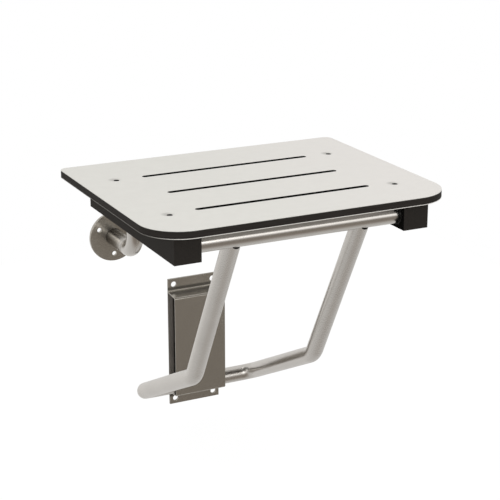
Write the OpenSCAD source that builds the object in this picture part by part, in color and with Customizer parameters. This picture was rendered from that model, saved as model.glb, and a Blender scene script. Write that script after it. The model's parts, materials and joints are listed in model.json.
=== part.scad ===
// Fold-down wall seat: a slotted laminate board on two rails, carried by a rear
// pivot bar on two wall flanges and by a bent leg frame whose foot bar slides up
// and down between a wall bracket and its back plate as the seat folds.
// Millimetres. X runs across the seat, +Y points into the wall, +Z is up.
// The origin is the centre of the guide bracket's hole pattern, on the wall plane.

/* [Seat board] */
// Width of the seat board, side to side
seat_width = 449; // [400:1:520]
// Depth of the seat board, rear edge to front edge
seat_depth = 363.5; // [350:0.5:400]
// Gap between the wall and the board's rear edge
wall_gap = 32; // [26:0.5:40]
// Height of the seat surface above the bracket's centre
seat_height = 314; // [300:1:340]
// Thickness of the whole board
board_t = 11.3; // [10:0.1:14]
// Thickness of each white laminate face
laminate_t = 1; // [0.5:0.1:1.5]
// Radius of the board's front corners
front_corner_r = 57; // [20:1:80]
// Radius of the board's rear corners
rear_corner_r = 12; // [3:1:30]

/* [Drain slots] */
// Number of drain slots
slot_count = 3; // [1:1:4]
// Distance from the board's side edge to a slot's end
slot_margin = 93; // [80:1:140]
// Width of a drain slot
slot_width = 7.4; // [5:0.1:9]
// Distance from one slot's middle line to the next
slot_pitch = 91.8; // [60:0.1:95]
// Distance from the board's front edge to the first slot's middle line
slot_setback = 84.4; // [70:0.1:100]

/* [Board screws] */
// Diameter of a screw's shank
screw_d = 5; // [4:0.5:6]
// Diameter of a screw's countersunk head
screw_head_d = 8; // [7:0.1:10]
// Depth of a screw's head below the seat surface
screw_recess = 2.4; // [1.5:0.1:4]
// Length of a screw
screw_length = 34; // [28:1:40]
// Width across the flats of a screw's hexagonal socket
screw_key = 3; // [2.5:0.5:4]
// Distance from a rail's end to its nearer screw
screw_inset = 57.5; // [50:0.5:70]

/* [Rails] */
// Length of a rail, front to rear
rail_length = 305; // [290:1:320]
// Width of a rail
rail_width = 38.8; // [36:0.1:44]
// Height of a rail below the board
rail_height = 40.2; // [37:0.1:44]
// Distance from the board's side edge to a rail's middle plane
rail_margin = 53; // [46:0.5:60]
// Rounding of a rail's long edges
rail_edge_r = 1.2; // [0.5:0.1:3]

/* [Pivots] */
// Distance from the wall to the rear pivot's axis
pivot_standoff = 91; // [84:0.5:100]
// Distance from a rail's end to its pivot's axis
pivot_inset = 21.6; // [19:0.1:26]
// Depth of both pivot axes below the seat surface
pivot_drop = 32.8; // [31:0.1:34]
// Depth of a rail's blind pivot bore
bore_depth = 31; // [24:0.5:33]
// Wall of a nylon pivot bush
bush_wall = 1.8; // [1.2:0.1:2.5]
// Radial running clearance of a tube in its bush
bush_clearance = 0.05; // [0.02:0.01:0.1]
// Gap between a tube's end plug and the floor of its bore
end_gap = 0.3; // [0.2:0.1:1]
// Length of an end plug's spigot inside its tube
plug_length = 14; // [8:1:20]
// Thickness of an end plug's head
plug_head_t = 2; // [1:0.5:3]

/* [Tube] */
// Outside diameter of the frame tube
tube_d = 25.4; // [24:0.1:26]
// Wall of the frame tube
tube_wall = 1.2; // [1:0.1:2]
// Gap left at a coped and welded tube joint
weld_gap = 0.05; // [0.02:0.01:0.2]
// How much a bend draws the tube's radius down
bend_draw = 0.1; // [0.08:0.01:0.3]

/* [Wall flanges] */
// Diameter of a wall flange
flange_d = 76.2; // [70:0.1:90]
// Thickness of a wall flange
flange_t = 4.8; // [3:0.1:6]
// Bevel on a wall flange's front rim
flange_bevel = 0.8; // [0.3:0.1:1.5]
// Distance from a rail's middle plane inwards to a riser's axis
riser_inset = 40.2; // [37:0.1:44]
// Height of the wall flanges above the bracket's centre
flange_height = 189.6; // [175:0.1:200]
// Diameter of a wall flange's screw holes
flange_hole_d = 7.1; // [5:0.1:9]
// Diameter of the circle that the flange's holes lie on
flange_bolt_circle = 53.4; // [48:0.1:62]
// Number of screw holes in a wall flange
flange_hole_count = 3; // [3:1:6]
// Bend radius of the risers' elbows, at the tube's middle line
riser_bend_r = 28.6; // [20:0.1:40]

/* [Leg frame] */
// Distance between the middle planes of the two legs
leg_spacing = 195; // [170:1:205]
// Distance from the wall to the knee's corner point
knee_standoff = 222; // [190:1:240]
// Height of the knee's corner point above the bracket's centre
knee_height = 36; // [15:1:60]
// Bend radius of the knees, at the tube's middle line
knee_bend_r = 38.1; // [26:0.1:60]
// Bend radius of the corners at the wall, at the tube's middle line
corner_bend_r = 24; // [20:0.5:34]
// Gap between a leg's end and the sliding middle of the foot bar
split_gap = 0.5; // [0.3:0.1:1]

/* [Guide bracket] */
// Width of the guide bracket
bracket_width = 86.2; // [78:0.1:94]
// Height of the guide bracket over its screw flanges
bracket_height = 212.6; // [205:0.1:240]
// Height of each of the bracket's screw flanges
bracket_flange_h = 20.8; // [19:0.1:24]
// Fall of the bracket's sloped shelves from the wall to the front face
shelf_fall = 2.5; // [1:0.1:5]
// Thickness of the bracket's sheet
sheet_t = 1.6; // [1.2:0.1:2.5]
// Inside radius of the bracket's bends
sheet_bend_r = 1.8; // [0.4:0.1:2.5]
// Clearance between the foot bar and the bracket that guides it
guide_clearance = 0.35; // [0.2:0.05:0.8]
// Distance from the bracket's side edge to a hole's centre
bracket_hole_side = 9.8; // [7:0.1:16]
// Distance from the bracket's top or bottom edge to a hole's centre
bracket_hole_end = 9.4; // [7:0.1:11]
// Diameter of the bracket's screw holes
bracket_hole_d = 9; // [6:0.1:10]

/* [Hidden] */
$fn = 64;

// Colours as the photograph shows them
laminate_rgb = [0.87, 0.86, 0.84];
phenolic_rgb = [0.14, 0.13, 0.12];
rail_rgb = [0.17, 0.16, 0.15];
satin_rgb = [0.71, 0.69, 0.66];
sheet_rgb = [0.46, 0.43, 0.39];
nylon_rgb = [0.12, 0.12, 0.12];
plug_rgb = [0.10, 0.10, 0.10];

// Overrun of a cut past the faces that it opens
cut = 1;
// Length by which a drawn-down bend reaches into the straight runs beside it
bend_lap = 0.8;

// Seat board
board_rear_y = -wall_gap;
board_front_y = board_rear_y - seat_depth;
board_bottom_z = seat_height - board_t;
slot_length = seat_width - 2 * slot_margin;

// Pivots and rails
tube_r = tube_d / 2;
pivot_y = -pivot_standoff;
pivot_z = seat_height - pivot_drop;
rail_rear_y = pivot_y + pivot_inset;
rail_front_y = rail_rear_y - rail_length;
crossbar_y = rail_front_y + pivot_inset;
rail_x = seat_width / 2 - rail_margin;
rail_inner_x = rail_x - rail_width / 2;
rail_bottom_z = board_bottom_z - rail_height;
bush_bore_r = tube_r + bush_clearance;
bush_r = bush_bore_r + bush_wall;
bar_end_x = rail_inner_x + bore_depth - end_gap - plug_head_t;

// Screws: height of the head's top, of the cone's foot and of the tip
screw_top_z = seat_height - screw_recess;
screw_cone_h = (screw_head_d - screw_d) / 2;
screw_tip_z = screw_top_z - screw_length;
screw_clearance = bush_clearance;
screw_key_depth = screw_cone_h;
screw_ys = [rail_rear_y - screw_inset, rail_front_y + screw_inset];

// Wall flanges
flange_x = rail_x - riser_inset;
flange_hole_start = 30;

// Guide bracket: holes, box, slope of its shelves and the foot bar's place on the lower one.
// Its depth and the bar's first place are measured from the front of the back plate.
bracket_hole_x = bracket_width / 2 - bracket_hole_side;
bracket_hole_z = bracket_height / 2 - bracket_hole_end;
box_base_height = bracket_height - 2 * bracket_flange_h;
box_face_height = box_base_height - 2 * shelf_fall;
bracket_depth = sheet_t + tube_d + 2 * guide_clearance;
shelf_angle = atan2(shelf_fall, bracket_depth - sheet_t);
shelf_wall = sheet_t / cos(shelf_angle);
foot_in = -(tube_r + guide_clearance);
foot_y = foot_in - sheet_t;
shelf_in_z = box_base_height / 2 - shelf_wall + (foot_in + sheet_t) * tan(shelf_angle);
foot_z = -(shelf_in_z - (tube_r + guide_clearance) / cos(shelf_angle));

// Leg frame: its side view, as points [y, z] and directions in degrees
top_point = [crossbar_y, pivot_z];
knee_point = [-knee_standoff, knee_height];
foot_point = [foot_y, foot_z];
arm_angle = atan2(knee_point.y - top_point.y, knee_point.x - top_point.x);
shin_angle = atan2(foot_point.y - knee_point.y, foot_point.x - knee_point.x);
knee_turn = shin_angle - arm_angle;
knee_tangent = knee_bend_r * tan(knee_turn / 2);
arm_length = norm(knee_point - top_point) - knee_tangent;
shin_length = norm(foot_point - knee_point) - knee_tangent - corner_bend_r;
leg_end_x = bracket_width / 2 + split_gap;

function along(a) = [cos(a), sin(a)];

// Points of an arc of radius r that rounds the corner q between headings a0 and a1
function fillet(q, a0, a1, r, steps = 6) =
    let(
        side = sign(a1 - a0),
        start = q - r * tan(abs(a1 - a0) / 2) * along(a0),
        centre = start + side * r * along(a0 + 90)
    )
    [for (i = [0:steps]) centre + r * along(a0 - side * 90 + (a1 - a0) * i / steps)];

// Turns a drawing so that its x and y become the part's Y and Z, and its z the part's X
module side_view() {
    rotate([90, 0, 90]) children();
}

// Rod along X, from x0 to x1, round the axis at [y, z]
module rod_x(p, r, x0, x1) {
    side_view() translate([p.x, p.y, x0]) cylinder(r = r, h = x1 - x0);
}

// Straight run of radius r in the side view, from p along the heading a
module run(p, a, length, r) {
    side_view() translate(p) rotate(a) rotate([0, 90, 0]) cylinder(r = r, h = length);
}

// Left-turning quarter or part turn of a tube of radius r, which starts at [bend_r, 0] and
// heads along y. Its ends lie just inside the straight runs that it joins.
module elbow(turn, bend_r, r) {
    lap = atan(bend_lap / bend_r);
    rotate(-lap) rotate_extrude(angle = turn + 2 * lap)
        translate([bend_r, 0]) circle(r = r - bend_draw);
}

// Left-turning bend of radius r in the side view, starting at p on the heading a
module bend(p, a, turn, bend_r, r) {
    side_view() translate(p + bend_r * along(a + 90)) rotate(a - 90) elbow(turn, bend_r, r);
}

// Makes the left-hand piece of a pair from the right-hand one
module left_of() {
    mirror([1, 0, 0]) children();
}

// Board, drawn from above

module board_outline() {
    half = seat_width / 2;
    middle = seat_depth - front_corner_r - rear_corner_r;
    translate([-half, board_front_y + front_corner_r]) square([seat_width, middle]);
    translate([-half + front_corner_r, board_front_y])
        square([seat_width - 2 * front_corner_r, front_corner_r]);
    translate([-half + rear_corner_r, board_rear_y - rear_corner_r])
        square([seat_width - 2 * rear_corner_r, rear_corner_r]);
    for (side = [-1, 1]) {
        translate([side * (half - front_corner_r), board_front_y + front_corner_r])
            circle(r = front_corner_r);
        translate([side * (half - rear_corner_r), board_rear_y - rear_corner_r])
            circle(r = rear_corner_r);
    }
}

module drain_slots() {
    reach = (slot_length - slot_width) / 2;
    for (i = [0:slot_count - 1]) translate([0, board_front_y + slot_setback + i * slot_pitch]) {
        square([2 * reach, slot_width], center = true);
        for (side = [-1, 1]) translate([side * reach, 0]) circle(d = slot_width);
    }
}

module at_screws() {
    for (side = [-1, 1], y = screw_ys) translate([side * rail_x, y, 0]) children();
}

// A layer of the board from height z0 up to z1, with its slots
module board_layer(z0, z1) {
    difference() {
        translate([0, 0, z0]) linear_extrude(z1 - z0) board_outline();
        translate([0, 0, z0 - cut]) linear_extrude(z1 - z0 + 2 * cut) drain_slots();
    }
}

// Clearance hole of one board screw, widening to its countersink and its recess
module screw_hole() {
    head_r = screw_head_d / 2 + screw_clearance;
    shank_r = screw_d / 2 + screw_clearance;
    translate([0, 0, screw_top_z]) cylinder(r = head_r, h = screw_recess + cut);
    translate([0, 0, screw_top_z - screw_cone_h])
        cylinder(r1 = shank_r, r2 = head_r, h = screw_cone_h);
    translate([0, 0, board_bottom_z - cut])
        cylinder(r = shank_r, h = board_t + cut - screw_recess - screw_cone_h);
}

module seat_core() {
    color(phenolic_rgb) difference() {
        board_layer(board_bottom_z + laminate_t, seat_height - laminate_t);
        at_screws() screw_hole();
    }
}

module top_laminate() {
    color(laminate_rgb) difference() {
        board_layer(seat_height - laminate_t, seat_height);
        at_screws() screw_hole();
    }
}

module bottom_laminate() {
    color(laminate_rgb) difference() {
        board_layer(board_bottom_z, board_bottom_z + laminate_t);
        at_screws() screw_hole();
    }
}

// Countersunk screws that hold the board down on the rails
module board_screws() {
    color(satin_rgb) at_screws() difference() {
        union() {
            translate([0, 0, screw_top_z - screw_cone_h])
                cylinder(d1 = screw_d, d2 = screw_head_d, h = screw_cone_h);
            translate([0, 0, screw_tip_z])
                cylinder(d = screw_d, h = screw_length - screw_cone_h);
        }
        translate([0, 0, screw_top_z - screw_key_depth])
            cylinder(d = screw_key / cos(30), h = screw_key_depth + cut, $fn = 6);
    }
}

// Rails

// Front view of a rail, with its lower edges rounded
module rail_section() {
    r = rail_edge_r;
    translate([rail_inner_x, rail_bottom_z + r]) square([rail_width, rail_height - r]);
    translate([rail_inner_x + r, rail_bottom_z]) square([rail_width - 2 * r, r]);
    for (x = [rail_inner_x + r, rail_inner_x + rail_width - r])
        translate([x, rail_bottom_z + r]) circle(r = r);
}

module rail() {
    color(rail_rgb) difference() {
        translate([0, rail_rear_y, 0]) rotate([90, 0, 0])
            linear_extrude(rail_length) rail_section();
        for (y = [pivot_y, crossbar_y])
            rod_x([y, pivot_z], bush_r, rail_inner_x - cut, rail_inner_x + bore_depth);
        for (y = screw_ys) translate([rail_x, y, screw_tip_z - screw_d])
            cylinder(r = screw_d / 2 + screw_clearance, h = screw_length + screw_d);
    }
}

// Nylon bush of one pivot, pressed into the right rail's bore
module bush(y) {
    color(nylon_rgb) difference() {
        rod_x([y, pivot_z], bush_r, rail_inner_x, rail_inner_x + bore_depth);
        rod_x([y, pivot_z], bush_bore_r, rail_inner_x - cut, rail_inner_x + bore_depth + cut);
    }
}

// Tubes

// Straight tube through both rails' bores, round the axis at [y, z]
module pivot_tube(p) {
    color(satin_rgb) difference() {
        rod_x(p, tube_r, -bar_end_x, bar_end_x);
        rod_x(p, tube_r - tube_wall, -bar_end_x - cut, bar_end_x + cut);
    }
}

// Plastic plugs that close both ends of a pivot tube
module end_plugs(p) {
    color(plug_rgb) for (side = [0, 1]) mirror([side, 0, 0]) {
        rod_x(p, tube_r, bar_end_x, bar_end_x + plug_head_t);
        rod_x(p, tube_r - tube_wall, bar_end_x - plug_length, bar_end_x);
    }
}

// Riser from its flange forward, round the elbow and up to the rear pivot bar
module riser_solid(r, overrun) {
    turn_y = pivot_y + riser_bend_r;
    translate([flange_x, 0, 0]) {
        run([turn_y, flange_height], 0, -turn_y - flange_t + overrun, r);
        bend([pivot_y, flange_height + riser_bend_r], -90, 90, riser_bend_r, r);
        run([pivot_y, flange_height + riser_bend_r], 90, pivot_z - flange_height - riser_bend_r, r);
    }
}

module riser_tube() {
    color(satin_rgb) difference() {
        riser_solid(tube_r, 0);
        riser_solid(tube_r - tube_wall, cut);
        rod_x([pivot_y, pivot_z], tube_r + weld_gap, flange_x - tube_d, flange_x + tube_d);
    }
}

// One leg: arm, knee, shin, corner and the stub of the foot bar
module leg_solid(r, overrun) {
    knee_start = knee_point - knee_tangent * along(arm_angle);
    knee_end = knee_point + knee_tangent * along(shin_angle);
    corner_start = foot_point - corner_bend_r * along(shin_angle);
    corner_x = leg_spacing / 2 - corner_bend_r;
    translate([leg_spacing / 2, 0, 0]) {
        run(top_point, arm_angle, arm_length, r);
        bend(knee_start, arm_angle, knee_turn, knee_bend_r, r);
        run(knee_end, shin_angle, shin_length, r);
    }
    translate([corner_x, corner_start.x, corner_start.y]) rotate([shin_angle, 0, 0])
        elbow(90, corner_bend_r, r);
    rod_x(foot_point, r, leg_end_x - overrun, corner_x);
}

module leg_tube() {
    reach = leg_spacing / 2;
    color(satin_rgb) difference() {
        leg_solid(tube_r, 0);
        leg_solid(tube_r - tube_wall, cut);
        rod_x(top_point, tube_r + weld_gap, reach - tube_d, reach + tube_d);
    }
}

// Middle of the foot bar, captive in the guide bracket
module foot_bar() {
    half = bracket_width / 2;
    color(satin_rgb) difference() {
        rod_x(foot_point, tube_r, -half, half);
        rod_x(foot_point, tube_r - tube_wall, -half - cut, half + cut);
    }
}

// Wall plates

module wall_flange() {
    color(sheet_rgb) translate([flange_x, 0, flange_height]) rotate([90, 0, 0]) difference() {
        union() {
            cylinder(d = flange_d, h = flange_t - flange_bevel);
            translate([0, 0, flange_t - flange_bevel])
                cylinder(d1 = flange_d, d2 = flange_d - 2 * flange_bevel, h = flange_bevel);
        }
        for (i = [0:flange_hole_count - 1])
            rotate(flange_hole_start + i * 360 / flange_hole_count)
                translate([flange_bolt_circle / 2, 0, -cut])
                    cylinder(d = flange_hole_d, h = flange_t + 2 * cut);
    }
}

// Side view of the folded sheet: flange, sloped shelf, face, shelf and flange
function bracket_profile() =
    let(
        top = bracket_height / 2,
        base = box_base_height / 2,
        face = box_face_height / 2,
        base_in = base + sheet_t * tan(shelf_angle) - shelf_wall,
        face_in = face + sheet_t * tan(shelf_angle) - shelf_wall,
        depth_in = bracket_depth - sheet_t,
        lean = shelf_angle,
        tight = sheet_bend_r,
        wide = sheet_bend_r + sheet_t
    )
    concat(
        [[-sheet_t, top]],
        fillet([-sheet_t, base], -90, lean - 180, tight),
        fillet([-bracket_depth, face], lean - 180, -90, wide),
        fillet([-bracket_depth, -face], -90, -lean, wide),
        fillet([-sheet_t, -base], -lean, -90, tight),
        [[-sheet_t, -top], [0, -top]],
        fillet([0, -base_in], 90, 180 - lean, wide),
        fillet([-depth_in, -face_in], 180 - lean, 90, tight),
        fillet([-depth_in, face_in], 90, lean, tight),
        fillet([0, base_in], lean, 90, wide),
        [[0, top]]
    );

// Cuts the bracket's screw holes through everything at the wall
module bracket_holes() {
    for (x = [-1, 1], z = [-1, 1])
        translate([x * bracket_hole_x, cut, z * bracket_hole_z])
            rotate([90, 0, 0]) cylinder(d = bracket_hole_d, h = 2 * sheet_t + 2 * cut);
}

// Flat plate on the wall, behind the bracket
module guide_back_plate() {
    color(sheet_rgb) difference() {
        translate([-bracket_width / 2, -sheet_t, -bracket_height / 2])
            cube([bracket_width, sheet_t, bracket_height]);
        bracket_holes();
    }
}

module guide_bracket() {
    color(sheet_rgb) difference() {
        side_view() translate([-sheet_t, 0, -bracket_width / 2])
            linear_extrude(bracket_width) polygon(bracket_profile());
        bracket_holes();
    }
}

// The named pieces

left_of() wall_flange();  // left_wall_flange
wall_flange();  // right_wall_flange
left_of() riser_tube();  // left_riser_tube
riser_tube();  // right_riser_tube
pivot_tube([pivot_y, pivot_z]);  // rear_pivot_bar
end_plugs([pivot_y, pivot_z]);  // rear_bar_end_plugs
guide_back_plate();
guide_bracket();
seat_core();
top_laminate();
bottom_laminate();
left_of() rail();  // left_rail
rail();  // right_rail
board_screws();
left_of() bush(pivot_y);  // left_rear_bush
bush(pivot_y);  // right_rear_bush
left_of() bush(crossbar_y);  // left_front_bush
bush(crossbar_y);  // right_front_bush
pivot_tube(top_point);  // front_crossbar
end_plugs(top_point);  // crossbar_end_plugs
left_of() leg_tube();  // left_leg_tube
leg_tube();  // right_leg_tube
foot_bar();
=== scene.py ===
"""Looks of the fold-down wall seat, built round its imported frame.

Metres, in the frame's own axes: X runs across the seat, +Y into the wall, +Z up. Sizes come
from the boxes of the frame's nodes where a box gives them, and else from the values below.
"""

import json

import bmesh
import bpy
import numpy as np
from mathutils import Matrix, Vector
from mathutils.geometry import delaunay_2d_cdt


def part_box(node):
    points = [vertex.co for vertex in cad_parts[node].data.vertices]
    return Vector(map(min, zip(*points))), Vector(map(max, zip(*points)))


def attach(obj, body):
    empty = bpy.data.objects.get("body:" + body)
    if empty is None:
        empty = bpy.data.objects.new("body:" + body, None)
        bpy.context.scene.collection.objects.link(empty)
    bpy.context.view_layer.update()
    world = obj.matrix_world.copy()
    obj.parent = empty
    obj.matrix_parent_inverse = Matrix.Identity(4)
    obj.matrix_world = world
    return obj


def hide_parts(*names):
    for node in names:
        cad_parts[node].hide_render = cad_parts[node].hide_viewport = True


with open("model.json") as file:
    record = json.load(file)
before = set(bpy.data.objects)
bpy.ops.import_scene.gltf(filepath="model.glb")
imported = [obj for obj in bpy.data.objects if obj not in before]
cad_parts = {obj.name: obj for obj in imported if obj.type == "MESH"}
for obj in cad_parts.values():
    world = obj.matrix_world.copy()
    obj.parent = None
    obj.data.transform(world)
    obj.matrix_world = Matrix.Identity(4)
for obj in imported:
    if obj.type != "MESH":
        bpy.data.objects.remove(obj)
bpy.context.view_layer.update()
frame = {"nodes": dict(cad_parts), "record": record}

MM = 0.001

# Board; dish_rim is a part of the dish's width
front_corner_r = 57 * MM
rear_corner_r = 12 * MM
face_ease = 0.38 * MM
core_ease = 0.15 * MM
under_ease = 0.2 * MM
cut_ease = 0.8 * MM
slot_count = 3
slot_length = 263 * MM
slot_width = 7.4 * MM
slot_pitch = 91.8 * MM
slot_setback = 84.4 * MM
hole_r = 4.05 * MM
dish_r = 9 * MM
dish_depth = 0.7 * MM
dish_rim = 0.1
# Painted shade to the left of each screw: its centre's shift from the screw, and the distances where it
# fades out
dish_shade_shift = (-0.0025, 0.0015)
dish_shade_reach = (0.004, 0.010)
# Painted light: the top face turns lighter and warmer towards the right, between these X
painted_light_fade = (-0.05, 0.2)
# Painted shade: the lower laminate's edge turns grey on its left side, up to these X
left_shade_fade = (-0.222, -0.19)

# Screws; a point and a socket's floor have the blunt part of their radius, and a socket's depth is
# in depths of the head's cone
screw_head_r = 4 * MM
screw_r = 2.5 * MM
screw_key = 3 * MM
screw_ease = 0.2 * MM
key_ease = 0.15 * MM
tip_length = 1.5 * MM
blunt = 0.4
socket_depth = 1.15

# Rails and pivots
rail_ease = 0.5 * MM
bore_depth = 31 * MM
bore_ease = 0.4 * MM
bush_wall = 1.8 * MM
bush_ease = 0.35 * MM
bush_clearance = 0.05 * MM

# Tubes
tube_wall = 1.2 * MM
lip = 0.25 * MM
weld_gap = 0.05 * MM
riser_bend_r = 28.6 * MM
knee_bend_r = 38.1 * MM
corner_bend_r = 24 * MM
knee_y = -222 * MM
knee_z = 36 * MM
# Painted shade strip in each arm's joint: its span of angles, its places along the arm, its radius and
# flatness
joint_shade_ends = np.radians([54, 110])
joint_shade_places = (0.0082, 0.0048)
joint_shade_r = 1.9 * MM
joint_shade_flatness = 0.2
bead_r = 0.72 * MM
bead_ripples = 44
# Radius of the dark rings round the riser: the flange seam and the painted shade where the elbow starts
seam_and_shade_r = 0.5 * MM
flange_seam_r = 0.7 * MM
# Darkening of the riser by its flange, partly heat tint and partly painted shade: how far it fades out
heat_and_shade_reach = 45 * MM

# Wall plates
flange_ease = 0.8 * MM
flange_hole_d = 7.1 * MM
flange_bolt_circle = 53.4 * MM
flange_hole_angles = np.radians([30, 150, 270])
bracket_hole_x = 66.6 * MM
bracket_hole_z = 193.8 * MM
bracket_hole_d = 9 * MM
bracket_base = 171 * MM
bracket_face = 166 * MM
sheet_bend_r = 1.8 * MM
sheet_ease = 0.3 * MM
sheet_corner_r = 0.6 * MM
channel_start = 0.5 * MM
# Painted shade in the bracket's inside bend corners: the heights where it ends, and how far it fades
corner_shade_reach = (0.0882, 0.0912)
corner_shade_fade = (0.001, 0.003)
# Painted shade deep in the bracket's channel: from these distances off the middle plane it turns black
channel_shade_reach = (0.033, 0.036)

# Grids: points of a round bend, a leg's straight run and a bar, sides of a tube, points of a
# sheet's corner and fold and of the bracket's face; and the range that noise mostly keeps to
bend_steps = 24
run_steps = 8
bar_steps = 12
tube_sides = 72
corner_steps = 4
fold_steps = 6
face_steps = 14
noise_start, noise_end = 0.3, 0.7

# Camera, in metres and degrees, and its focal length in pixels of the 500 pixel picture
camera_place = (-0.8842, -1.9941, 0.8574)
camera_yaw = 26.314
camera_pitch = -18.032
camera_focal = 1457.4
picture_width = 500
sensor_width = 36

# Studio: the even light on the seat, and how bright reflections are: below, by how far a direction
# points into the wall; above, by its height in front; and one level behind
light_level = 0.66
below_levels = [(-1, 0.26), (-0.65, 0.26), (-0.4, 0.46), (-0.1, 0.6), (0.3, 0.66), (0.7, 0.76),
                (1, 0.84)]
above_levels = [(0, 0.7), (0.08, 1), (0.28, 1.4), (0.44, 0.7), (0.56, 0.1), (0.78, 0.08), (0.9, 0.3),
                (1, 0.8)]
behind_level = 0.8
behind_fade = (0.15, -0.35)
horizon_fade = (-0.16, 0.04)
dark_tint = (1.12, 1.0, 0.88)
light_tint = (1.0, 0.99, 0.97)
tint_levels = (0.26, 0.6)
floor_z = -143 * MM
floor_reach = 0.9
floor_tones = (0.9, 0.35)
floor_glow = 1.04
glow_share = 0.93
lamp_aim = (0, -0.2, 0.2)


def low(node):
    """Lowest corner of a CAD node."""
    return np.array(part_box(node)[0])


def high(node):
    """Highest corner of a CAD node."""
    return np.array(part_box(node)[1])


def middle(node):
    """Centre of a CAD node's box."""
    return (low(node) + high(node)) / 2


def size(node):
    """Width, depth and height of a CAD node."""
    return high(node) - low(node)


tube_r = size("front_crossbar")[2] / 2
crossbar = middle("front_crossbar")
rear_bar = middle("rear_pivot_bar")
foot = middle("foot_bar")
leg_x = high("right_leg_tube")[0] - tube_r
leg_end_x = low("right_leg_tube")[0]
riser_x = middle("right_riser_tube")[0]
flange_z = middle("right_wall_flange")[2]
flange_r = size("right_wall_flange")[2] / 2
flange_t = size("right_wall_flange")[1]
sheet_t = size("guide_back_plate")[1]
screw_low, screw_high = low("board_screws") + screw_head_r, high("board_screws") - screw_head_r
screw_places = [(x, y) for x in (screw_low[0], screw_high[0]) for y in (screw_low[1], screw_high[1])]


def unit(v):
    """Vectors of length one along the last axis."""
    return v / np.linalg.norm(v, axis=-1, keepdims=True)


def angles(count):
    """Even angles round a circle."""
    return np.linspace(0, 2 * np.pi, count, endpoint=False)


def smooth_step(t):
    """0 below 0, 1 above 1 and an even S between: 3 t squared less 2 t cubed."""
    t = np.clip(t, 0, 1)
    return t * t * (3 - 2 * t)


# Materials


class Graph:
    """Short ways to add and join the nodes of a material or of the world."""

    def __init__(self, tree):
        self.nodes, self.links = tree.nodes, tree.links

    def add(self, kind, **settings):
        """A new node with some of its settings."""
        node = self.nodes.new("ShaderNode" + kind)
        for name, value in settings.items():
            setattr(node, name, value)
        return node

    def feed(self, socket, value):
        """Joins an output to an input, or sets a number, vector or colour on it."""
        if isinstance(value, bpy.types.NodeSocket):
            self.links.new(value, socket)
        else:
            socket.default_value = value

    def made(self, node, *values, **named):
        """First output of a node whose inputs are fed in their order or by their names."""
        for socket, value in zip(node.inputs, values):
            self.feed(socket, value)
        for name, value in named.items():
            self.feed(node.inputs[name], value)
        return node.outputs[0]

    def math(self, operation, *values):
        """What a Math node makes of one or two values."""
        return self.made(self.add("Math", operation=operation), *values)

    def either(self, share, first, second):
        """One shader where the share is 0, another where it is 1."""
        return self.made(self.add("MixShader"), share, first, second)

    def blend(self, share, first, second, kind="FLOAT"):
        """One value where the share is 0, another where it is 1."""
        node = self.add("Mix", data_type=kind)
        self.made(node, Factor=share, A=first, B=second)
        return node.outputs["Result"]

    def parts(self, coordinates):
        """The x, y and z of a kind of coordinates."""
        node = self.add("SeparateXYZ")
        self.feed(node.inputs[0], self.add("TexCoord").outputs[coordinates])
        return node.outputs

    def spread(self, value, low_value, high_value, start=noise_start, end=noise_end):
        """Carries a value from between its start and end to between two values."""
        return self.made(self.add("MapRange"), value, start, end, low_value, high_value)

    def between(self, value, start, end):
        """0 at the start of a value, 1 at its end."""
        return self.spread(value, 0, 1, start, end)

    def two_tone(self, value, dark, light, start=noise_start, end=noise_end):
        """Runs from one colour to another over a value."""
        ramp = self.add("ValToRGB")
        for element, at, tone in zip(ramp.color_ramp.elements, (start, end), (dark, light)):
            element.position = at
            element.color = (*tone, 1)
        self.feed(ramp.inputs["Fac"], value)
        return ramp.outputs["Color"]

    def pattern(self, scale, stretch=(1, 1, 1), detail=4.0):
        """Noise on Object coordinates, with scale cells in a metre and stretched along the axes."""
        turn = self.made(self.add("Mapping"), self.add("TexCoord").outputs["Object"], Scale=stretch)
        return self.made(self.add("TexNoise"), Vector=turn, Scale=scale, Detail=detail)


def grained(name, color, dullness, scale, tones=None, bump=None, stretch=(1, 1, 1), detail=4.0,
            metallic=0.0, specular=0.5):
    """A material with one Principled shader and one noise, which carries the roughness between two
    values and, where they are given, the colour between two tones and a bump of a height and a
    strength. Returns the material, its graph, the shader's inputs and the noise."""
    material = bpy.data.materials.new(name)
    material.use_nodes = True
    graph = Graph(material.node_tree)
    inputs = graph.nodes["Principled BSDF"].inputs
    inputs["Base Color"].default_value = (*color, 1)
    inputs["Metallic"].default_value = metallic
    inputs["Specular IOR Level"].default_value = specular
    grain = graph.pattern(scale, stretch, detail)
    graph.feed(inputs["Roughness"], graph.spread(grain, *dullness))
    if tones:
        graph.feed(inputs["Base Color"], graph.two_tone(grain, *tones))
    if bump:
        height, strength = bump
        raised = graph.made(graph.add("Bump"), Distance=height, Strength=strength, Height=grain)
        graph.feed(inputs["Normal"], raised)
    return material, graph, inputs, grain


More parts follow.
